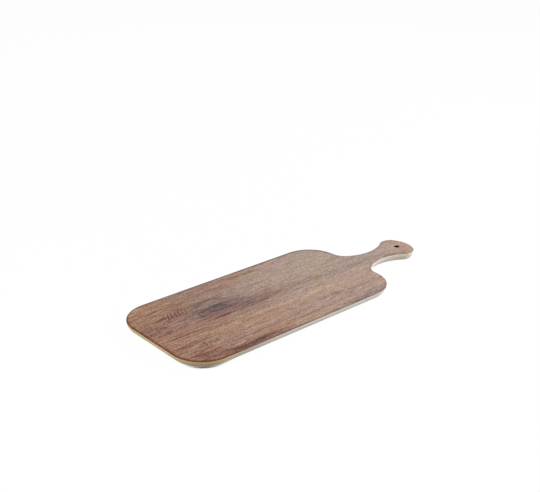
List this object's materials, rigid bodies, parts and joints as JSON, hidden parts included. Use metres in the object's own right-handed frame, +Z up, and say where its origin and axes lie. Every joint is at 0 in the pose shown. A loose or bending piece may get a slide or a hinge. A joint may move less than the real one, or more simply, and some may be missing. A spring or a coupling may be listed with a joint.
{
  "type": "paddle serving board",
  "caption": "Moulded paddle serving board with a wood-grain foil on top, a cream side that curves under, a waisted handle with a hanging hole, and soft feet.",
  "frame": {"origin": "under the middle of the board's box, in the plane that the feet stand on", "axes": "+X along the board towards the handle, +Y to its left, +Z up out of the serving face"},
  "size_m": [0.48, 0.185, 0.015],
  "materials": {
    "cream_melamine": "moulded cream melamine, satin gloss",
    "wood_grain_print": "printed brown wood-grain foil under a satin clear overlay",
    "foot_silicone": "translucent grey silicone, matt"
  },
  "bodies": {
    "root": {"moulded_body": "cream_melamine", "wood_grain_foil": "wood_grain_print", "end_foot_left": "foot_silicone", "end_foot_right": "foot_silicone", "shoulder_foot_left": "foot_silicone", "shoulder_foot_right": "foot_silicone"}
  },
  "joints": []
}
